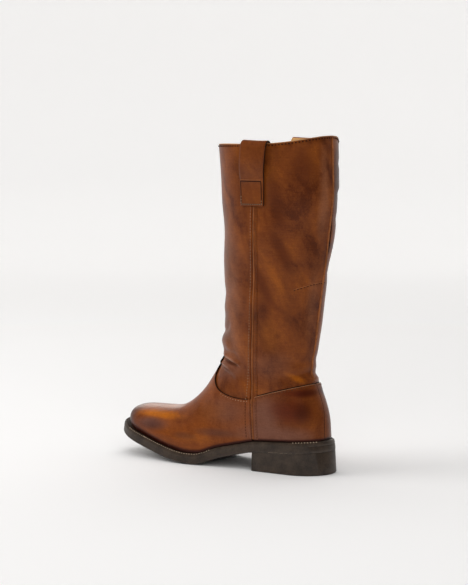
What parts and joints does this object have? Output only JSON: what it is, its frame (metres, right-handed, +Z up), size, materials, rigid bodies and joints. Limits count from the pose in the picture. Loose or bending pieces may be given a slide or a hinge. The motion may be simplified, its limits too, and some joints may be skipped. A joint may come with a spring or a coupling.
{
  "type": "mid-calf boot",
  "caption": "Tall pull-on leather boot for the left foot, with a plain round-toed vamp, heel counter, piped side seams, two pull loops and a stitched rubber sole with a block heel.",
  "frame": {"origin": "on the floor, under the middle of the boot's bounding box", "axes": "+Z is up, -Y is towards the toe, +X is the wearer's left, the outer side of this left boot"},
  "size_m": [0.1156, 0.2862, 0.372],
  "materials": {
    "leather": "polished, burnished darker at the toe and heel",
    "welt": "satin",
    "sole_rubber": "matt",
    "sock": "matt"
  },
  "bodies": {
    "root": {"upper": "leather", "vamp": "leather", "counter": "leather", "back_seam": "leather", "piping_outer": "leather", "piping_inner": "leather", "pull_loop_outer": "leather", "pull_loop_inner": "leather", "midsole": "welt", "outsole": "sole_rubber", "heel": "sole_rubber", "insole": "sock"}
  },
  "joints": []
}
